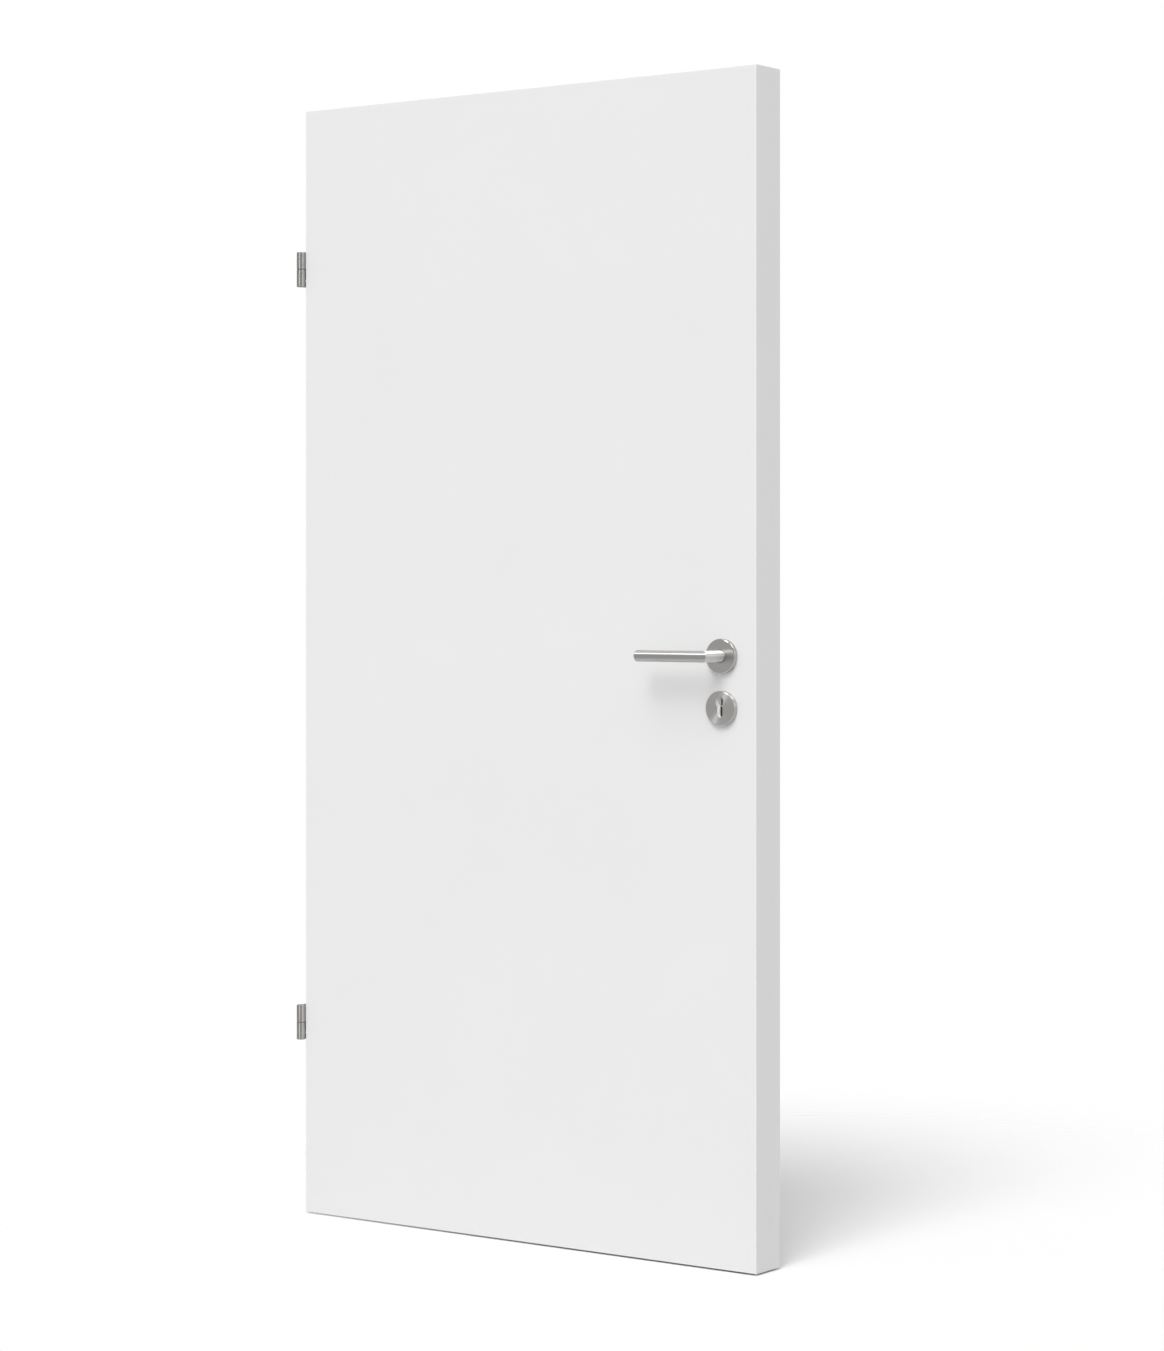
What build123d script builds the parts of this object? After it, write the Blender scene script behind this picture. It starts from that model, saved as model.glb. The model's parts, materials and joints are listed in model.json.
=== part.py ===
from build123d import *
import os

os.makedirs("parts", exist_ok=True)

# Flush door leaf on two lift-off hinges, with a mitred lever on each face and a profile cylinder.
# X runs from the hinge edge to the lock edge, Y from the front face to the back, Z is up.
# The origin is the middle of the lower frame flap's mounting face. All sizes are in millimetres.

# Leaf
leaf_width = 959.0
leaf_height = 1972.0
leaf_thickness = 73.0
sheet_thickness = 4.0
band_thickness = 2.0
band_round = 0.8
hinge_stile_width = 60.0
lock_stile_width = 130.0
rail_height = 100.0

# Hinges
lower_hinge_height = 339.5
upper_hinge_drop = 283.5
hinge_height = 62.0
knuckle_diameter = 16.0
knuckle_forward = 3.3
knuckle_chamfer = 1.0
knuckle_cap = 4.0
pin_diameter = 8.0
pin_play = 0.05
pin_end_room = 1.0
washer_diameter = 14.8
washer_thickness = 1.6
washer_room = 0.3
flap_thickness = 2.5
flap_gap = 5.0
flap_depth = 40.0
flap_corner = 5.0
flap_room = 1.2
screw_hole_diameter = 5.2
screw_head_diameter = 9.6
screw_angle = 90.0
screw_pitch_across = 15.0
screw_pitch_up = 40.0

# Lever set
lever_height = 1006.6
backset = 65.0
lever_diameter = 19.0
lever_length = 134.0
lever_reach = 56.0
lever_end_round = 2.6
neck_room = 1.2
stub_diameter = 16.0
stub_play = 0.1
stub_end_room = 0.5
spindle_width = 8.0
spindle_play = 0.1
spindle_hold = 32.0
spindle_bore = 18.0

# Rose and key caps
rose_diameter = 57.5
rose_height = 9.0
rose_wall = 1.5
rose_round = 2.0
rose_fit = 0.2

# Key set
key_drop = 75.5
key_cap_drop = 10.0
cylinder_round = 17.0
cylinder_web = 10.0
cylinder_height = 33.0
cylinder_length = 78.0
cylinder_room = 0.3
plug_diameter = 15.0
plug_length = 30.0
plug_play = 0.05
keyway_width = 3.2
keyway_height = 11.5
keyway_depth = 24.0

# Places worked out from the sizes
leaf_left = 2 * flap_thickness + flap_gap
leaf_right = leaf_left + leaf_width
hinge_x = leaf_left - knuckle_diameter / 2
hinge_y = -(knuckle_diameter / 2 + flap_depth) / 2
face_front = hinge_y + knuckle_forward
face_back = face_front + leaf_thickness
leaf_bottom = -lower_hinge_height
leaf_top = leaf_bottom + leaf_height
inner_left = leaf_left + band_thickness
inner_right = leaf_right - band_thickness
inner_bottom = leaf_bottom + band_thickness
inner_top = leaf_top - band_thickness
frame_front = face_front + sheet_thickness
frame_back = face_back - sheet_thickness
hinge_stile_edge = inner_left + hinge_stile_width
lock_stile_edge = inner_right - lock_stile_width
bottom_rail_edge = inner_bottom + rail_height
top_rail_edge = inner_top - rail_height
lock_x = leaf_right - backset
lever_z = leaf_bottom + lever_height
key_z = lever_z - key_drop
key_cap_z = key_z - key_cap_drop
base_height = rose_height - rose_wall - rose_fit
web_drop = cylinder_height - cylinder_round / 2 - cylinder_web / 2
cylinder_front = (face_front + face_back - cylinder_length) / 2
hinge_levels = {"lower": 0.0, "upper": leaf_top - upper_hinge_drop}
leaf_sides = {"front": (face_front, -1), "back": (face_back, 1)}


def save(builder, name):
    """Label a finished piece and write it as a node of its own."""
    builder.part.label = name
    export_step(builder.part, f"parts/{name}.step")


def slab(x_span, y_span, z_span):
    """Add a straight board that fills the three spans."""
    with Locations((x_span[0], y_span[0], z_span[0])):
        Box(
            x_span[1] - x_span[0],
            y_span[1] - y_span[0],
            z_span[1] - z_span[0],
            align=(Align.MIN, Align.MIN, Align.MIN),
        )


def facing(x, y, z, out):
    """Plane at a point of a face, with its normal out of the leaf and its own Y upwards."""
    return Plane(origin=(x, y, z), x_dir=(-out, 0, 0), z_dir=(0, out, 0))


def profile(room):
    """Draw the cylinder's keyhole profile about the plug's axis, grown by the room around it."""
    Circle(cylinder_round / 2 + room)
    with Locations((0, -web_drop / 2)):
        Rectangle(cylinder_web + 2 * room, web_drop)
    with Locations((0, -web_drop)):
        Circle(cylinder_web / 2 + room)


def cut_lock_holes(y_start, depth):
    """Bore the spindle's hole and cut the cylinder's profile through a board of the leaf."""
    with BuildSketch(facing(lock_x, y_start, lever_z, 1)) as bore:
        Circle(spindle_bore / 2)
    extrude(bore.sketch, amount=depth, mode=Mode.SUBTRACT)
    with BuildSketch(facing(lock_x, y_start, key_z, 1)) as keyhole:
        profile(cylinder_room)
    extrude(keyhole.sketch, amount=depth, mode=Mode.SUBTRACT)


# Face sheets between the edge bands
for side, y_sheet in (("front", face_front), ("back", frame_back)):
    with BuildPart() as face_sheet:
        slab(
            (inner_left, inner_right),
            (y_sheet, y_sheet + sheet_thickness),
            (inner_bottom, inner_top),
        )
        cut_lock_holes(y_sheet, sheet_thickness)
    save(face_sheet, f"{side}_face_sheet")

# Stiles, rails and core between the sheets
with BuildPart() as hinge_stile:
    slab((inner_left, hinge_stile_edge), (frame_front, frame_back), (inner_bottom, inner_top))
save(hinge_stile, "hinge_stile")

with BuildPart() as lock_stile:
    slab((lock_stile_edge, inner_right), (frame_front, frame_back), (inner_bottom, inner_top))
    cut_lock_holes(frame_front, frame_back - frame_front)
save(lock_stile, "lock_stile")

rail_spans = {
    "bottom_rail": (inner_bottom, bottom_rail_edge),
    "core_panel": (bottom_rail_edge, top_rail_edge),
    "top_rail": (top_rail_edge, inner_top),
}
for name, z_span in rail_spans.items():
    with BuildPart() as infill:
        slab((hinge_stile_edge, lock_stile_edge), (frame_front, frame_back), z_span)
    save(infill, name)

# Edge bands: the long ones run the full height, with the short ones between them
for name, x_span, outer in (
    ("hinge_edge_band", (leaf_left, inner_left), 0),
    ("lock_edge_band", (inner_right, leaf_right), -1),
):
    with BuildPart() as long_band:
        slab(x_span, (face_front, face_back), (leaf_bottom, leaf_top))
        fillet(long_band.edges().filter_by(Axis.Z).group_by(Axis.X)[outer], band_round)
    save(long_band, name)

for name, z_span, outer in (
    ("bottom_edge_band", (leaf_bottom, inner_bottom), 0),
    ("top_edge_band", (inner_top, leaf_top), -1),
):
    with BuildPart() as short_band:
        slab((inner_left, inner_right), (face_front, face_back), z_span)
        fillet(short_band.edges().filter_by(Axis.X).group_by(Axis.Z)[outer], band_round)
    save(short_band, name)


def rose_cup(plane):
    """Add a round cap: a shallow cup with a rounded rim, open towards the leaf."""
    with BuildSketch(plane) as outside:
        Circle(rose_diameter / 2)
    extrude(outside.sketch, amount=rose_height)
    rim = Axis(plane.origin, plane.z_dir)
    fillet(edges().filter_by(GeomType.CIRCLE).sort_by(rim)[-1], rose_round)
    with BuildSketch(plane) as inside:
        Circle(rose_diameter / 2 - rose_wall)
    extrude(inside.sketch, amount=rose_height - rose_wall, mode=Mode.SUBTRACT)


def rose_disc(plane):
    """Add the base that fills a cap."""
    with BuildSketch(plane) as disc:
        Circle(rose_diameter / 2 - rose_wall - rose_fit)
    extrude(disc.sketch, amount=base_height)


# Roses, key caps, levers and plugs on both faces
for side, (face, out) in leaf_sides.items():
    lever_plane = facing(lock_x, face, lever_z, out)
    key_plane = facing(lock_x, face, key_z, out)
    cap_plane = facing(lock_x, face, key_cap_z, out)

    with BuildPart() as rose_cap:
        rose_cup(lever_plane)
        with BuildSketch(lever_plane):
            Circle(lever_diameter / 2 + neck_room)
        extrude(amount=rose_height, mode=Mode.SUBTRACT)
    save(rose_cap, f"{side}_rose_cap")

    with BuildPart() as rose_base:
        rose_disc(lever_plane)
        with BuildSketch(lever_plane):
            Circle(stub_diameter / 2 + stub_play)
        extrude(amount=rose_height, mode=Mode.SUBTRACT)
    save(rose_base, f"{side}_rose_base")

    with BuildPart() as key_cap:
        rose_cup(cap_plane)
        with BuildSketch(key_plane):
            profile(cylinder_room)
        extrude(amount=rose_height, mode=Mode.SUBTRACT)
    save(key_cap, f"{side}_key_cap")

    with BuildPart() as key_base:
        rose_disc(cap_plane)
        with BuildSketch(key_plane):
            profile(cylinder_room)
        extrude(amount=rose_height, mode=Mode.SUBTRACT)
    save(key_base, f"{side}_key_base")

    # The neck leaves the leaf squarely and meets the grip at a mitre
    neck_start = base_height + rose_fit
    corner = Vector(lock_x, face + out * lever_reach, lever_z)
    mitre = Plane(origin=corner, z_dir=(1, -out, 0))
    with BuildPart() as lever_neck:
        with BuildSketch(lever_plane.offset(neck_start)):
            Circle(lever_diameter / 2)
        extrude(amount=lever_reach + lever_diameter - neck_start)
        split(bisect_by=mitre, keep=Keep.TOP)
        with BuildSketch(lever_plane.offset(stub_end_room)):
            Circle(stub_diameter / 2)
        extrude(amount=neck_start - stub_end_room)
        with BuildSketch(lever_plane):
            Rectangle(spindle_width + 2 * spindle_play, spindle_width + 2 * spindle_play)
        extrude(amount=spindle_hold, mode=Mode.SUBTRACT)
    save(lever_neck, f"{side}_lever_neck")

    with BuildPart() as lever_grip:
        with BuildSketch(Plane(origin=corner - Vector(lever_length, 0, 0), z_dir=(1, 0, 0))):
            Circle(lever_diameter / 2)
        extrude(amount=lever_length + lever_diameter)
        split(bisect_by=mitre, keep=Keep.BOTTOM)
        fillet(lever_grip.edges().sort_by(Axis.X)[0], lever_end_round)
    save(lever_grip, f"{side}_lever_grip")

# Square spindle that joins the two necks
with BuildPart() as spindle:
    with BuildSketch(facing(lock_x, face_front - spindle_hold + spindle_play, lever_z, 1)):
        Rectangle(spindle_width, spindle_width)
    extrude(amount=leaf_thickness + 2 * (spindle_hold - spindle_play))
save(spindle, "spindle")

# Profile cylinder through the leaf, with a keyed plug in each end
cylinder_back = cylinder_front + cylinder_length
with BuildPart() as cylinder_body:
    with BuildSketch(facing(lock_x, cylinder_front, key_z, 1)):
        profile(0)
    extrude(amount=cylinder_length)
    for y_end, out in ((cylinder_front, -1), (cylinder_back, 1)):
        with BuildSketch(facing(lock_x, y_end, key_z, out)):
            Circle(plug_diameter / 2 + plug_play)
        extrude(amount=-plug_length, mode=Mode.SUBTRACT)
save(cylinder_body, "cylinder_body")

for side, y_end, out in (("front", cylinder_front, -1), ("back", cylinder_back, 1)):
    with BuildPart() as plug:
        with BuildSketch(facing(lock_x, y_end, key_z, out)):
            Circle(plug_diameter / 2)
        extrude(amount=-plug_length)
        with BuildSketch(facing(lock_x, y_end, key_z, out)):
            Rectangle(keyway_width, keyway_height)
        extrude(amount=-keyway_depth, mode=Mode.SUBTRACT)
    save(plug, f"{side}_plug")


def knuckle(z_low, z_high, capped):
    """Add one knuckle with its closed end chamfered."""
    with BuildSketch(Plane.XY.offset(z_low)) as barrel:
        with Locations((hinge_x, hinge_y)):
            Circle(knuckle_diameter / 2)
    extrude(barrel.sketch, amount=z_high - z_low)
    chamfer(edges().filter_by(GeomType.CIRCLE).sort_by(Axis.Z)[capped], knuckle_chamfer)


def flap(x_low, z_mid):
    """Add a full-height flap from the hinge axis backwards, with its rear corners rounded."""
    z_low = z_mid - hinge_height / 2
    slab(
        (x_low, x_low + flap_thickness),
        (hinge_y, hinge_y + flap_depth),
        (z_low, z_low + hinge_height),
    )
    fillet(edges().filter_by(Axis.X).group_by(Axis.Y)[-1], flap_corner)


def clear_knuckle(z_low, z_high):
    """Cut the flap back round the other half's knuckle."""
    with BuildSketch(Plane.XY.offset(z_low)) as room:
        with Locations((hinge_x, hinge_y)):
            Circle(knuckle_diameter / 2 + flap_room)
    extrude(room.sketch, amount=z_high - z_low, mode=Mode.SUBTRACT)


def pin_bore(z_low, z_high):
    """Bore a knuckle for the pin."""
    with BuildSketch(Plane.XY.offset(z_low)) as bore:
        with Locations((hinge_x, hinge_y)):
            Circle(pin_diameter / 2 + pin_play)
    extrude(bore.sketch, amount=z_high - z_low, mode=Mode.SUBTRACT)


def screw_holes(x_face, z_mid, out):
    """Countersink four screw holes from the face that the other flap looks at."""
    with Locations(Plane(origin=(x_face, 0, z_mid), x_dir=(0, 1, 0), z_dir=(out, 0, 0))):
        with GridLocations(screw_pitch_across, screw_pitch_up, 2, 2):
            CounterSinkHole(
                screw_hole_diameter / 2,
                screw_head_diameter / 2,
                flap_thickness,
                screw_angle,
            )


# Lift-off hinges: the frame half carries the pin and the ring, the leaf half turns on them
for level, z_mid in hinge_levels.items():
    z_low = z_mid - hinge_height / 2
    z_high = z_mid + hinge_height / 2
    ring_low = z_mid - washer_thickness / 2
    ring_high = z_mid + washer_thickness / 2
    leaf_low = ring_high + washer_room

    with BuildPart() as frame_half:
        knuckle(z_low, ring_low, 0)
        flap(0, z_mid)
        clear_knuckle(ring_low, z_high)
        screw_holes(flap_thickness, z_mid, 1)
        pin_bore(z_low + knuckle_cap, ring_low)
    save(frame_half, f"{level}_hinge_frame_half")

    with BuildPart() as leaf_half:
        knuckle(leaf_low, z_high, -1)
        flap(leaf_left - flap_thickness, z_mid)
        clear_knuckle(z_low, leaf_low)
        screw_holes(leaf_left - flap_thickness, z_mid, -1)
        pin_bore(leaf_low, z_high - knuckle_cap)
    save(leaf_half, f"{level}_hinge_leaf_half")

    with BuildPart() as pin:
        with BuildSketch(Plane.XY.offset(z_low + knuckle_cap)):
            with Locations((hinge_x, hinge_y)):
                Circle(pin_diameter / 2)
        extrude(amount=hinge_height - 2 * knuckle_cap - pin_end_room)
    save(pin, f"{level}_hinge_pin")

    with BuildPart() as washer:
        with BuildSketch(Plane.XY.offset(ring_low)):
            with Locations((hinge_x, hinge_y)):
                Circle(washer_diameter / 2)
                Circle(pin_diameter / 2 + pin_play, mode=Mode.SUBTRACT)
        extrude(amount=washer_thickness)
    save(washer, f"{level}_hinge_washer")
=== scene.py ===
import json
import math

import bmesh
import bpy
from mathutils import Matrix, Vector


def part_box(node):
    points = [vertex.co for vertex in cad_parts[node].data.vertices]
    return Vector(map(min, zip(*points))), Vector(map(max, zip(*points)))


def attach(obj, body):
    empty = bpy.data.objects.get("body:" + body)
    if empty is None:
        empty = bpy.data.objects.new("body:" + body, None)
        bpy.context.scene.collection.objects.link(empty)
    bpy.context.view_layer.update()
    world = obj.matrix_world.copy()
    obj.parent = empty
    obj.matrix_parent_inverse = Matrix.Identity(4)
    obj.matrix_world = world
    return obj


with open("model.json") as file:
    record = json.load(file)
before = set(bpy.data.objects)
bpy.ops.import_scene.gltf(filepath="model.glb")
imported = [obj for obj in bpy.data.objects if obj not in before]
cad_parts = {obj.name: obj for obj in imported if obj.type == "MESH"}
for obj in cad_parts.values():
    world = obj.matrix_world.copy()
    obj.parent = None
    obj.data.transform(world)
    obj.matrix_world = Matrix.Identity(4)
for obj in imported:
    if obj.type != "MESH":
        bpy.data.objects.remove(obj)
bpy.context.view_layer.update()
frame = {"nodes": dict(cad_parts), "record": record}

nodes = frame["nodes"]
mounts = {m["name"]: m for m in frame["record"]["mounts"]}
mm = 0.001
quarterTurn = math.radians(90)


def hexToLinear(code):
    def channel(part):
        value = int(part, 16) / 255
        return value / 12.92 if value <= 0.04045 else ((value + 0.055) / 1.055) ** 2.4

    return tuple(channel(code[i:i + 2]) for i in (1, 3, 5)) + (1.0,)


def addNode(tree, kind, inputs=None, **settings):
    node = tree.nodes.new(kind)
    for name, value in settings.items():
        setattr(node, name, value)
    for name, value in (inputs or {}).items():
        if isinstance(value, bpy.types.NodeSocket):
            tree.links.new(value, node.inputs[name])
        else:
            node.inputs[name].default_value = value
    return node


def newMaterial(name, **values):
    material = bpy.data.materials.new(name)
    material.use_nodes = True
    tree = material.node_tree
    shader = tree.nodes["Principled BSDF"]
    for socket, value in values.items():
        shader.inputs[socket.replace("_", " ")].default_value = value
    return material, tree, shader


def dress(material, *names):
    for name in names:
        slots = nodes[name].data.materials
        slots.clear()
        slots.append(material)


def middle(name):
    low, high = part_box(name)
    return tuple((low + high) / 2)


def fineGrain(tree, shader, place, look):  # a grain that shows in the gloss and as a faint relief
    grain = addNode(tree, "ShaderNodeTexNoise", {"Vector": place, "Scale": 1 / look["grain"], "Detail": 2.0})
    rough = addNode(tree, "ShaderNodeMapRange", {
        "Value": grain.outputs["Fac"],
        "To Min": look["roughness"] - look["uneven"],
        "To Max": look["roughness"] + look["uneven"],
    })
    tree.links.new(rough.outputs["Result"], shader.inputs["Roughness"])
    bump = addNode(tree, "ShaderNodeBump", {
        "Height": grain.outputs["Fac"], "Strength": look["relief"], "Distance": look["depth"],
    })
    tree.links.new(bump.outputs["Normal"], shader.inputs["Normal"])


# leaf faces: melamine foil pressed on fibreboard, a smooth satin white with a faint pearl grain
sheetLook = {
    "colour": "#f3f3f3", "shade": "#f0f0f0", "cloud": 260 * mm, "ior": 1.5,
    "grain": 1.6 * mm, "relief": 0.12, "depth": 0.05 * mm, "roughness": 0.42, "uneven": 0.05,
}


def melamineFoil(name, look):
    material, tree, shader = newMaterial(name, IOR=look["ior"])
    place = addNode(tree, "ShaderNodeTexCoord").outputs["Object"]
    cloud = addNode(tree, "ShaderNodeTexNoise", {"Vector": place, "Scale": 1 / look["cloud"], "Detail": 3.0})
    tint = addNode(tree, "ShaderNodeMix", {
        "Factor": cloud.outputs["Fac"],
        "A": hexToLinear(look["shade"]),
        "B": hexToLinear(look["colour"]),
    }, data_type="RGBA")
    tree.links.new(tint.outputs["Result"], shader.inputs["Base Color"])
    fineGrain(tree, shader, place, look)
    return material


dress(melamineFoil("melamineFoil", sheetLook), "front_face_sheet", "back_face_sheet")

# edges: 2 mm ABS band, flush trimmed, slightly glossier than the foil
bandLook = dict(
    sheetLook, colour="#f6f6f6", shade="#f3f3f3", grain=2.2 * mm, cloud=180 * mm, roughness=0.38,
)
bandNames = [f"{edge}_edge_band" for edge in ("hinge", "lock", "top", "bottom")]
dress(melamineFoil("absEdgeBand", bandLook), *bandNames)
print("leaf faces and edges dressed")

# satin stainless steel: turned on a lathe or ground across, so a highlight is drawn out
# at right angles to the scratches, which are a little coarser than real ones to show close up
steelLook = {
    "colour": "#bfbdbb", "dark": "#b7b5b3", "roughness": 0.38, "uneven": 0.04, "drawn": 0.85,
    "scratch": 0.3 * mm, "length": 20 * mm,
}


def satinSteel(name, look, drawnAlong=None, turnedAbout=None):
    material, tree, shader = newMaterial(name, Metallic=1.0, Anisotropic=look["drawn"])
    place = addNode(tree, "ShaderNodeTexCoord").outputs["Object"]
    if turnedAbout is not None:  # a round cap: rings on its face, lines round its rim
        axis = (0.0, 1.0, 0.0)
        across = (1.0, 0.0, 1.0)
        offset = addNode(tree, "ShaderNodeVectorMath", {0: place, 1: turnedAbout}, operation="SUBTRACT")
        flat = addNode(tree, "ShaderNodeVectorMath", {
            0: offset.outputs[0], 1: across,
        }, operation="MULTIPLY")
        radius = addNode(tree, "ShaderNodeVectorMath", {0: flat.outputs[0]}, operation="LENGTH")
        depth = addNode(tree, "ShaderNodeVectorMath", {
            0: offset.outputs[0], 1: axis,
        }, operation="DOT_PRODUCT")
        ring = addNode(tree, "ShaderNodeMath", {
            0: radius.outputs["Value"], 1: depth.outputs["Value"],
        }, operation="ADD")
        line = addNode(tree, "ShaderNodeTexNoise", {
            "W": ring.outputs[0], "Scale": 1 / look["scratch"], "Detail": 3.0,
        }, noise_dimensions="1D")
        outward = addNode(tree, "ShaderNodeVectorMath", {0: flat.outputs[0]}, operation="NORMALIZE")
        heading = addNode(tree, "ShaderNodeVectorMath", {0: outward.outputs[0], 1: axis}, operation="ADD")
    else:  # a bar or barrel: lines round it
        squeeze = tuple(1 / look["scratch"] if v else 1 / look["length"] for v in drawnAlong)
        drawn = addNode(tree, "ShaderNodeVectorMath", {0: place, 1: squeeze}, operation="MULTIPLY")
        line = addNode(tree, "ShaderNodeTexNoise", {"Vector": drawn.outputs[0], "Scale": 1.0, "Detail": 3.0})
        heading = addNode(tree, "ShaderNodeCombineXYZ", dict(zip("XYZ", drawnAlong)))
    tree.links.new(heading.outputs[0], shader.inputs["Tangent"])
    tint = addNode(tree, "ShaderNodeMix", {
        "Factor": line.outputs["Fac"],
        "A": hexToLinear(look["dark"]),
        "B": hexToLinear(look["colour"]),
    }, data_type="RGBA")
    tree.links.new(tint.outputs["Result"], shader.inputs["Base Color"])
    rough = addNode(tree, "ShaderNodeMapRange", {
        "Value": line.outputs["Fac"],
        "To Min": look["roughness"] - look["uneven"],
        "To Max": look["roughness"] + look["uneven"],
    })
    tree.links.new(rough.outputs["Result"], shader.inputs["Roughness"])
    return material


roseLook = dict(steelLook, roughness=0.14, drawn=0.0)  # finer, even satin
keyLook = dict(steelLook, colour="#c4c2c0", dark="#bcbab8", roughness=0.36, drawn=0.84)
for side in ("front", "back"):
    for part, look in (("rose", roseLook), ("key", keyLook)):
        cap = f"{side}_{part}_cap"
        dress(satinSteel(f"turnedStainless.{cap}", look, turnedAbout=middle(cap)), cap)
gripLook = dict(steelLook, roughness=0.41, drawn=0.9)
gripSteel = satinSteel("turnedStainless.grip", gripLook, drawnAlong=(1, 0, 0))
dress(gripSteel, "front_lever_grip", "back_lever_grip")
# painted reflection: the neck's steel is paler than the grip's, though both are one lever, to brighten the
# neck
neckPaintedSheenLook = dict(steelLook, colour="#dcdad8", dark="#d5d3d1", roughness=0.5, drawn=0.95)
neckPaintedSheenSteel = satinSteel("turnedStainless.neck", neckPaintedSheenLook, drawnAlong=(0, 1, 0))
dress(neckPaintedSheenSteel, "front_lever_neck", "back_lever_neck")
hingeLook = dict(steelLook, colour="#aeacaa", dark="#a6a4a2", roughness=0.44, drawn=0.97)
hingeSteel = satinSteel("turnedStainless.hinge", hingeLook, drawnAlong=(0, 0, 1))
pinLook = dict(steelLook, colour="#8f8f8f", dark="#7f7f7f", roughness=0.3)
pinSteel = satinSteel("groundSteel.pin", pinLook, drawnAlong=(0, 0, 1))
for level in ("lower", "upper"):
    dress(hingeSteel, f"{level}_hinge_frame_half", f"{level}_hinge_leaf_half")
    dress(pinSteel, f"{level}_hinge_pin", f"{level}_hinge_washer")
dress(satinSteel("groundSteel.spindle", pinLook, drawnAlong=(0, 1, 0)), "spindle")
print("steel dressed")

# small moulded and plated pieces: matt to satin, with the fine grain of a spark-eroded mould or a casting
castGrain = {"grain": 0.5 * mm, "relief": 0.15, "depth": 0.03 * mm, "uneven": 0.08}
castLooks = {
    "blackNylon": dict(castGrain, colour="#26262a", roughness=0.55, metallic=0.0),
    # white and grey nylon: lit and shaded copies of one nylon, a painted highlight on the keyhole walls and
    # painted shade round the plug
    "whiteNylonPaintedHighlight": dict(castGrain, colour="#f6f6f4", roughness=0.4, metallic=0.0),
    "greyNylonPaintedShade": dict(castGrain, colour="#dfdedc", roughness=0.4, metallic=0.0),
    "nickelPlate": dict(castGrain, colour="#d2cfca", roughness=0.3, metallic=1.0, grain=0.4 * mm),
    # painted shade: a dark bronze colour for the cylinder body, which is really nickel like the plug
    "paintedShadeBrass": dict(castGrain, colour="#4a453f", roughness=0.45, metallic=1.0, grain=0.4 * mm),
}


def castPiece(name, look):
    colour = hexToLinear(look["colour"])
    material, tree, shader = newMaterial(name, Base_Color=colour, Metallic=look["metallic"])
    place = addNode(tree, "ShaderNodeTexCoord").outputs["Object"]
    fineGrain(tree, shader, place, look)
    return material


castMaterials = {name: castPiece(name, look) for name, look in castLooks.items()}
dress(castMaterials["blackNylon"], "front_rose_base", "back_rose_base")
# the white key base is partly its moulded colour and partly a painted highlight on the keyhole's wall
dress(castMaterials["whiteNylonPaintedHighlight"], "front_key_base", "back_key_base")
dress(castMaterials["nickelPlate"], "front_plug", "back_plug")
# the cylinder body's dark colour is painted shade on the keyhole's floor
dress(castMaterials["paintedShadeBrass"], "cylinder_body")
print("moulded and plated pieces dressed")

# key guides: funnels that line the keyholes from just under the cap down to the cylinder and
# narrow sideways, a grey collar round the plug and white below it: one nylon in two tones, the white a
# painted highlight on the keyhole wall and the grey collar painted shade
guideSize = {
    "round": 8.8 * mm, "web": 5.3 * mm, "drop": 19.5 * mm, "lip": 0.3 * mm, "sunk": 0.4 * mm,
    "clear": 0.03 * mm, "pinch": 0.64, "collarSteps": 40, "endSteps": 20,
}


def keyholeOutline(inset, pinch=1.0):
    wide = guideSize["round"] - inset
    narrow = guideSize["web"] - inset
    jointAngle = math.asin(narrow / wide)
    start = jointAngle - quarterTurn
    sweep = 4 * quarterTurn - 2 * jointAngle
    points = []
    for step in range(guideSize["collarSteps"] + 1):
        angle = start + sweep * step / guideSize["collarSteps"]
        points.append((pinch * wide * math.cos(angle), wide * math.sin(angle)))
    for step in range(guideSize["endSteps"] + 1):
        angle = 2 * quarterTurn * (1 + step / guideSize["endSteps"])
        points.append((pinch * narrow * math.cos(angle), narrow * math.sin(angle) - guideSize["drop"]))
    return points


outerOutline = keyholeOutline(guideSize["clear"])
innerOutline = keyholeOutline(guideSize["lip"], guideSize["pinch"])
guideShape = bmesh.new()
for side, end, inward in (("front", 0, 1), ("back", 1, -1)):
    plugX, _, plugZ = middle(f"{side}_plug")
    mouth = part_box(f"{side}_key_cap")[end].y + inward * guideSize["sunk"]
    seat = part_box(f"{side}_plug")[end].y - inward * guideSize["clear"]
    rings = []
    for y, outline in ((mouth, outerOutline), (seat, innerOutline), (seat, outerOutline)):
        rings.append([guideShape.verts.new((plugX + x, y, plugZ + z)) for x, z in outline])
    for ring, following in zip(rings, rings[1:] + rings[:1]):
        for i in range(len(ring)):
            wall = guideShape.faces.new((ring[i - 1], ring[i], following[i], following[i - 1]))
            wall.smooth = True
            wall.material_index = int(0 < i <= guideSize["collarSteps"])
            guideShape.edges.get((ring[i - 1], ring[i])).smooth = False
bmesh.ops.recalc_face_normals(guideShape, faces=guideShape.faces)
guideMesh = bpy.data.meshes.new("keyGuides")
guideShape.to_mesh(guideMesh)
guideShape.free()
guideMesh.materials.append(castMaterials["whiteNylonPaintedHighlight"])
guideMesh.materials.append(castMaterials["greyNylonPaintedShade"])
keyGuides = bpy.data.objects.new("keyGuides", guideMesh)
bpy.context.collection.objects.link(keyGuides)
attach(keyGuides, "leaf")
print("key guides made")

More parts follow.
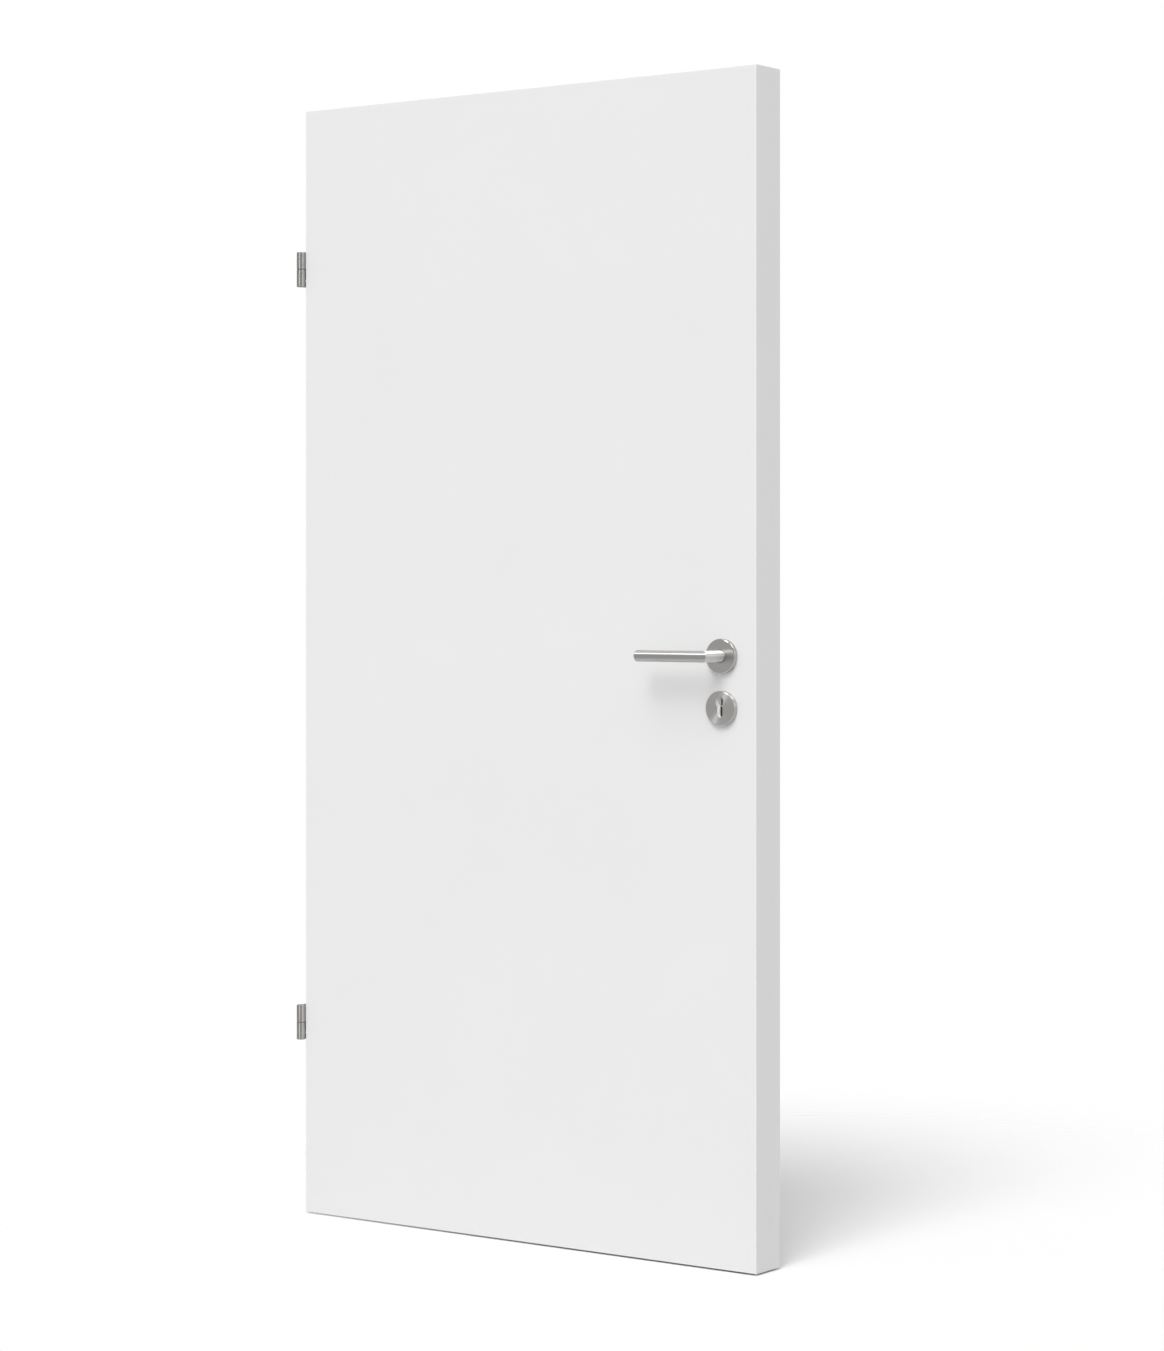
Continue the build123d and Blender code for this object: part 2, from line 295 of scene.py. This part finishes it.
# hinge screws: zinc plated, countersunk, cross recess, four in each flap on the leaf,
# with their heads just under the flap's face
screwLook = dict(castGrain, colour="#bdbbb7", roughness=0.3, metallic=1.0, grain=0.3 * mm)
screwSize = {
    "Head": 4.55 * mm, "Shank": 2.5 * mm, "Cone": 2.05 * mm,
    "Recess": 1.3 * mm, "Blade": 0.9 * mm, "Cross": 4.4 * mm,
}
screwSet = {"flap": 2.5 * mm, "sunk": 0.15 * mm, "headSteps": 48, "seed": 7}
lowerMount = mounts["lower_hinge_screws"]
upperMount = mounts["upper_hinge_screws"]
screwPlaces = {
    "Across": lowerMount["dims"]["spacing_x_mm"] * mm,
    "Up": lowerMount["dims"]["spacing_y_mm"] * mm,
    "Face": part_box("lower_hinge_leaf_half")[1].x - screwSet["flap"] + screwSet["sunk"],
    "Low": lowerMount["pos_m"][2],
    "Rise": upperMount["pos_m"][2] - lowerMount["pos_m"][2],
}
screwTree = bpy.data.node_groups.new("countersunkScrews", "GeometryNodeTree")
screwTree.interface.new_socket(name="Geometry", in_out="OUTPUT", socket_type="NodeSocketGeometry")
screwInputs = {}
for name in (*screwSize, *screwPlaces, "Steel"):
    socketType = "NodeSocketMaterial" if name == "Steel" else "NodeSocketFloat"
    screwInputs[name] = screwTree.interface.new_socket(name=name, in_out="INPUT", socket_type=socketType)
given = addNode(screwTree, "NodeGroupInput").outputs

# one head: a laid cone with two crossing cuts
cone = addNode(screwTree, "GeometryNodeMeshCone", {
    "Vertices": screwSet["headSteps"], "Depth": given["Cone"],
    "Radius Bottom": given["Head"], "Radius Top": given["Shank"],
})
laidCone = addNode(screwTree, "GeometryNodeTransform", {
    "Geometry": cone.outputs["Mesh"], "Rotation": (0, quarterTurn, 0),
})
headShape = laidCone.outputs[0]
for sideways, upward in (("Blade", "Cross"), ("Cross", "Blade")):
    bladeSize = addNode(screwTree, "ShaderNodeCombineXYZ", {
        "X": given["Recess"], "Y": given[sideways], "Z": given[upward],
    })
    blade = addNode(screwTree, "GeometryNodeMeshCube", {"Size": bladeSize.outputs[0]})
    cut = addNode(screwTree, "GeometryNodeMeshBoolean", {
        "Mesh 1": headShape, "Mesh 2": blade.outputs["Mesh"],
    }, operation="DIFFERENCE")
    headShape = cut.outputs["Mesh"]

# their places: the four corners of the pattern, at both hinges
grid = addNode(screwTree, "GeometryNodeMeshGrid", {
    "Size X": given["Up"], "Size Y": given["Across"], "Vertices X": 2, "Vertices Y": 2,
})
upright = addNode(screwTree, "GeometryNodeTransform", {
    "Geometry": grid.outputs["Mesh"], "Rotation": (0, quarterTurn, 0),
})
lowPlace = addNode(screwTree, "ShaderNodeCombineXYZ", {"X": given["Face"], "Z": given["Low"]})
riseStep = addNode(screwTree, "ShaderNodeCombineXYZ", {"Z": given["Rise"]})
levels = addNode(screwTree, "GeometryNodeMeshLine", {
    "Count": 2, "Start Location": lowPlace.outputs[0], "Offset": riseStep.outputs[0],
})
flaps = addNode(screwTree, "GeometryNodeInstanceOnPoints", {
    "Points": levels.outputs["Mesh"], "Instance": upright.outputs[0],
})
places = addNode(screwTree, "GeometryNodeRealizeInstances", {"Geometry": flaps.outputs["Instances"]})

# each head turned as it happened to stop
twist = addNode(screwTree, "FunctionNodeRandomValue", data_type="FLOAT")
twist.inputs[2].default_value = 0.0
twist.inputs[3].default_value = quarterTurn
twist.inputs["Seed"].default_value = screwSet["seed"]
headTurn = addNode(screwTree, "ShaderNodeCombineXYZ", {"X": twist.outputs[1]})
screws = addNode(screwTree, "GeometryNodeInstanceOnPoints", {
    "Points": places.outputs[0], "Instance": headShape, "Rotation": headTurn.outputs[0],
})
screwMesh = addNode(screwTree, "GeometryNodeRealizeInstances", {"Geometry": screws.outputs["Instances"]})
finished = addNode(screwTree, "GeometryNodeSetMaterial", {
    "Geometry": screwMesh.outputs[0], "Material": given["Steel"],
})
addNode(screwTree, "NodeGroupOutput", {"Geometry": finished.outputs[0]})
hingeScrews = bpy.data.objects.new("hingeScrews", bpy.data.meshes.new("hingeScrews"))
bpy.context.collection.objects.link(hingeScrews)
screwMaker = hingeScrews.modifiers.new("screws", "NODES")
screwMaker.node_group = screwTree
for name, value in {**screwSize, **screwPlaces, "Steel": castPiece("zincPlate", screwLook)}.items():
    screwMaker[screwInputs[name].identifier] = value
grown = hingeScrews.evaluated_get(bpy.context.evaluated_depsgraph_get())
hingeScrews.data = bpy.data.meshes.new_from_object(grown)
hingeScrews.modifiers.remove(screwMaker)
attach(hingeScrews, "leaf")
print("hinge screws made:", len(hingeScrews.data.polygons), "faces")

# inner frame: planed pine, grain along each board
timberLook = {"early": "#d9b98a", "late": "#b98f5c", "ring": 6 * mm, "stretch": 14.0, "roughness": 0.6}


def planedPine(name, look, grainAlong):
    material, tree, shader = newMaterial(name, Roughness=look["roughness"])
    place = addNode(tree, "ShaderNodeTexCoord").outputs["Object"]
    squeeze = tuple(1 / look["ring"] / (look["stretch"] if v else 1) for v in grainAlong)
    drawn = addNode(tree, "ShaderNodeVectorMath", {0: place, 1: squeeze}, operation="MULTIPLY")
    rings = addNode(tree, "ShaderNodeTexNoise", {
        "Vector": drawn.outputs[0], "Scale": 1.0, "Detail": 4.0, "Distortion": 0.6,
    })
    tint = addNode(tree, "ShaderNodeMix", {
        "Factor": rings.outputs["Fac"],
        "A": hexToLinear(look["early"]),
        "B": hexToLinear(look["late"]),
    }, data_type="RGBA")
    tree.links.new(tint.outputs["Result"], shader.inputs["Base Color"])
    return material


dress(planedPine("planedPine.stile", timberLook, (0, 0, 1)), "hinge_stile", "lock_stile")
dress(planedPine("planedPine.rail", timberLook, (1, 0, 0)), "top_rail", "bottom_rail")

# core: pressed chipboard, pale flakes of a few millimetres
coreLook = {"pale": "#cdb48c", "brown": "#9c7c53", "flake": 4 * mm, "roughness": 0.75}
coreMaterial, coreTree, coreShader = newMaterial("pressedChipboard", Roughness=coreLook["roughness"])
corePlace = addNode(coreTree, "ShaderNodeTexCoord").outputs["Object"]
coreFlakes = addNode(coreTree, "ShaderNodeTexVoronoi", {"Vector": corePlace, "Scale": 1 / coreLook["flake"]})
coreTint = addNode(coreTree, "ShaderNodeMix", {
    "Factor": coreFlakes.outputs["Distance"],
    "A": hexToLinear(coreLook["pale"]),
    "B": hexToLinear(coreLook["brown"]),
}, data_type="RGBA")
coreTree.links.new(coreTint.outputs["Result"], coreShader.inputs["Base Color"])
dress(coreMaterial, "core_panel")
print("inner pieces dressed")

# camera: level, shifted down, placed from the leaf's lower front lock corner
view = {
    "turn": 35.67, "lens": 91.0, "shiftY": -0.0682, "clipEnd": 100.0,
    "eye": 1.126, "away": 5.564, "aside": 0.2838,
}
bandLow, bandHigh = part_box("lock_edge_band")
lockCorner = Vector((bandHigh.x, bandLow.y, bandLow.z))
turn = math.radians(view["turn"])
rightward = Vector((math.cos(turn), math.sin(turn), 0))
forward = Vector((-math.sin(turn), math.cos(turn), 0))
eyeHeight = Vector((0, 0, view["eye"]))
camera = bpy.data.objects.new("camera", bpy.data.cameras.new("camera"))
bpy.context.collection.objects.link(camera)
camera.data.lens = view["lens"]
camera.data.shift_y = view["shiftY"]
camera.data.clip_end = view["clipEnd"]
camera.location = lockCorner - view["aside"] * rightward - view["away"] * forward + eyeHeight
camera.rotation_euler = (quarterTurn, 0, turn)
bpy.context.scene.camera = camera

# floor: a white disc 3 mm under the leaf that fades into the white surround, with a dimmer bounce
floorLook = {
    "colour": "#ffffff", "bounce": "#c2c2c2", "roughness": 0.9, "gap": 3 * mm,
    "radius": 1.85, "segments": 96, "beside": 0.8, "behind": 0.3, "fadeFrom": 0.3, "fadeTo": 1.85,
}
floorMesh = bpy.data.meshes.new("floor")
floorShape = bmesh.new()
bmesh.ops.create_circle(
    floorShape, cap_ends=True, radius=floorLook["radius"], segments=floorLook["segments"],
)
floorShape.to_mesh(floorMesh)
floorShape.free()
floor = bpy.data.objects.new("floor", floorMesh)
bpy.context.collection.objects.link(floor)
floor.location = (floorLook["beside"], floorLook["behind"], lockCorner.z - floorLook["gap"])
floorMaterial, floorTree, floorShader = newMaterial(
    "paleFloor", Roughness=floorLook["roughness"], Specular_IOR_Level=0.0,
)


def shownRays(tree):  # 1 for what is seen, straight or in metal, 0 for the light that a surface gathers
    rays = addNode(tree, "ShaderNodeLightPath").outputs
    shown = rays["Is Camera Ray"]
    for kind in ("Is Glossy Ray", "Is Transmission Ray"):
        shown = addNode(tree, "ShaderNodeMath", {0: shown, 1: rays[kind]}, operation="MAXIMUM").outputs[0]
    return shown


floorTint = addNode(floorTree, "ShaderNodeMix", {
    "Factor": shownRays(floorTree),
    "A": hexToLinear(floorLook["bounce"]),
    "B": hexToLinear(floorLook["colour"]),
}, data_type="RGBA")
floorTree.links.new(floorTint.outputs["Result"], floorShader.inputs["Base Color"])
floorPlace = addNode(floorTree, "ShaderNodeTexCoord").outputs["Object"]
floorReach = addNode(floorTree, "ShaderNodeVectorMath", {0: floorPlace}, operation="LENGTH")
floorFade = addNode(floorTree, "ShaderNodeMapRange", {
    "Value": floorReach.outputs["Value"],
    "From Min": floorLook["fadeFrom"],
    "From Max": floorLook["fadeTo"],
}, interpolation_type="SMOOTHSTEP")
clear = addNode(floorTree, "ShaderNodeBsdfTransparent")
floorMix = addNode(floorTree, "ShaderNodeMixShader", {
    0: floorFade.outputs["Result"], 1: floorShader.outputs["BSDF"], 2: clear.outputs["BSDF"],
})
floorTree.links.new(floorMix.outputs[0], floorTree.nodes["Material Output"].inputs["Surface"])
floorMesh.materials.append(floorMaterial)

# surround: white behind the part, a grey room in front of it that only metal shows, an even fill
roomLook = {
    "white": 1.0, "room": 0.6, "fill": 0.58,
    "backward": (0.0, 1.0, -0.5), "backFrom": -0.2, "backTo": 0.4,
}
world = bpy.data.worlds.new("surround")
bpy.context.scene.world = world
world.use_nodes = True
sky = world.node_tree
skyPlace = addNode(sky, "ShaderNodeTexCoord").outputs["Generated"]
skyWay = addNode(sky, "ShaderNodeVectorMath", {
    0: skyPlace, 1: roomLook["backward"],
}, operation="DOT_PRODUCT")
behind = addNode(sky, "ShaderNodeMapRange", {
    "Value": skyWay.outputs["Value"],
    "From Min": roomLook["backFrom"],
    "From Max": roomLook["backTo"],
    "To Min": roomLook["room"],
    "To Max": roomLook["white"],
}, interpolation_type="SMOOTHSTEP")
fromCamera = addNode(sky, "ShaderNodeLightPath").outputs["Is Camera Ray"]
seenLevel = addNode(sky, "ShaderNodeMath", {
    0: behind.outputs["Result"], 1: fromCamera,
}, operation="MAXIMUM")
skyLevel = addNode(sky, "ShaderNodeMix", {
    "Factor": shownRays(sky), "A": roomLook["fill"], "B": seenLevel.outputs[0],
})
sky.nodes["Background"].inputs["Color"].default_value = (1, 1, 1, 1)
sky.links.new(skyLevel.outputs["Result"], sky.nodes["Background"].inputs["Strength"])

# lamps: two broad soft lamps in front and above, and three that only show in the steel
lampLooks = {
    "lowLamp": {"side": 14.0, "height": 40.0, "spread": 28.0, "power": 0.93, "shows": "diffuse"},
    "highLamp": {"side": 15.0, "height": 57.0, "spread": 30.0, "power": 0.88, "shows": "diffuse"},
    "leftStrip": {"side": -15.0, "height": 46.0, "spread": 16.0, "power": 1.55, "shows": "glossy"},
    "edgeStrip": {"side": 95.0, "height": 57.0, "spread": 26.0, "power": 1.35, "shows": "glossy"},
    "lowStrip": {"side": 95.0, "height": 18.0, "spread": 26.0, "power": 0.4, "shows": "glossy"},
}
for name, look in lampLooks.items():
    lamp = bpy.data.objects.new(name, bpy.data.lights.new(name, "SUN"))
    bpy.context.collection.objects.link(lamp)
    lamp.data.energy = look["power"]
    lamp.data.angle = math.radians(look["spread"])
    lamp.rotation_euler = (math.radians(90 - look["height"]), 0, math.radians(look["side"]))
    lamp.visible_diffuse = look["shows"] == "diffuse"
    lamp.visible_glossy = look["shows"] == "glossy"
    lamp.data.use_shadow = look["shows"] == "diffuse"
bpy.context.scene.view_settings.view_transform = "Standard"
print("camera, floor and light set")
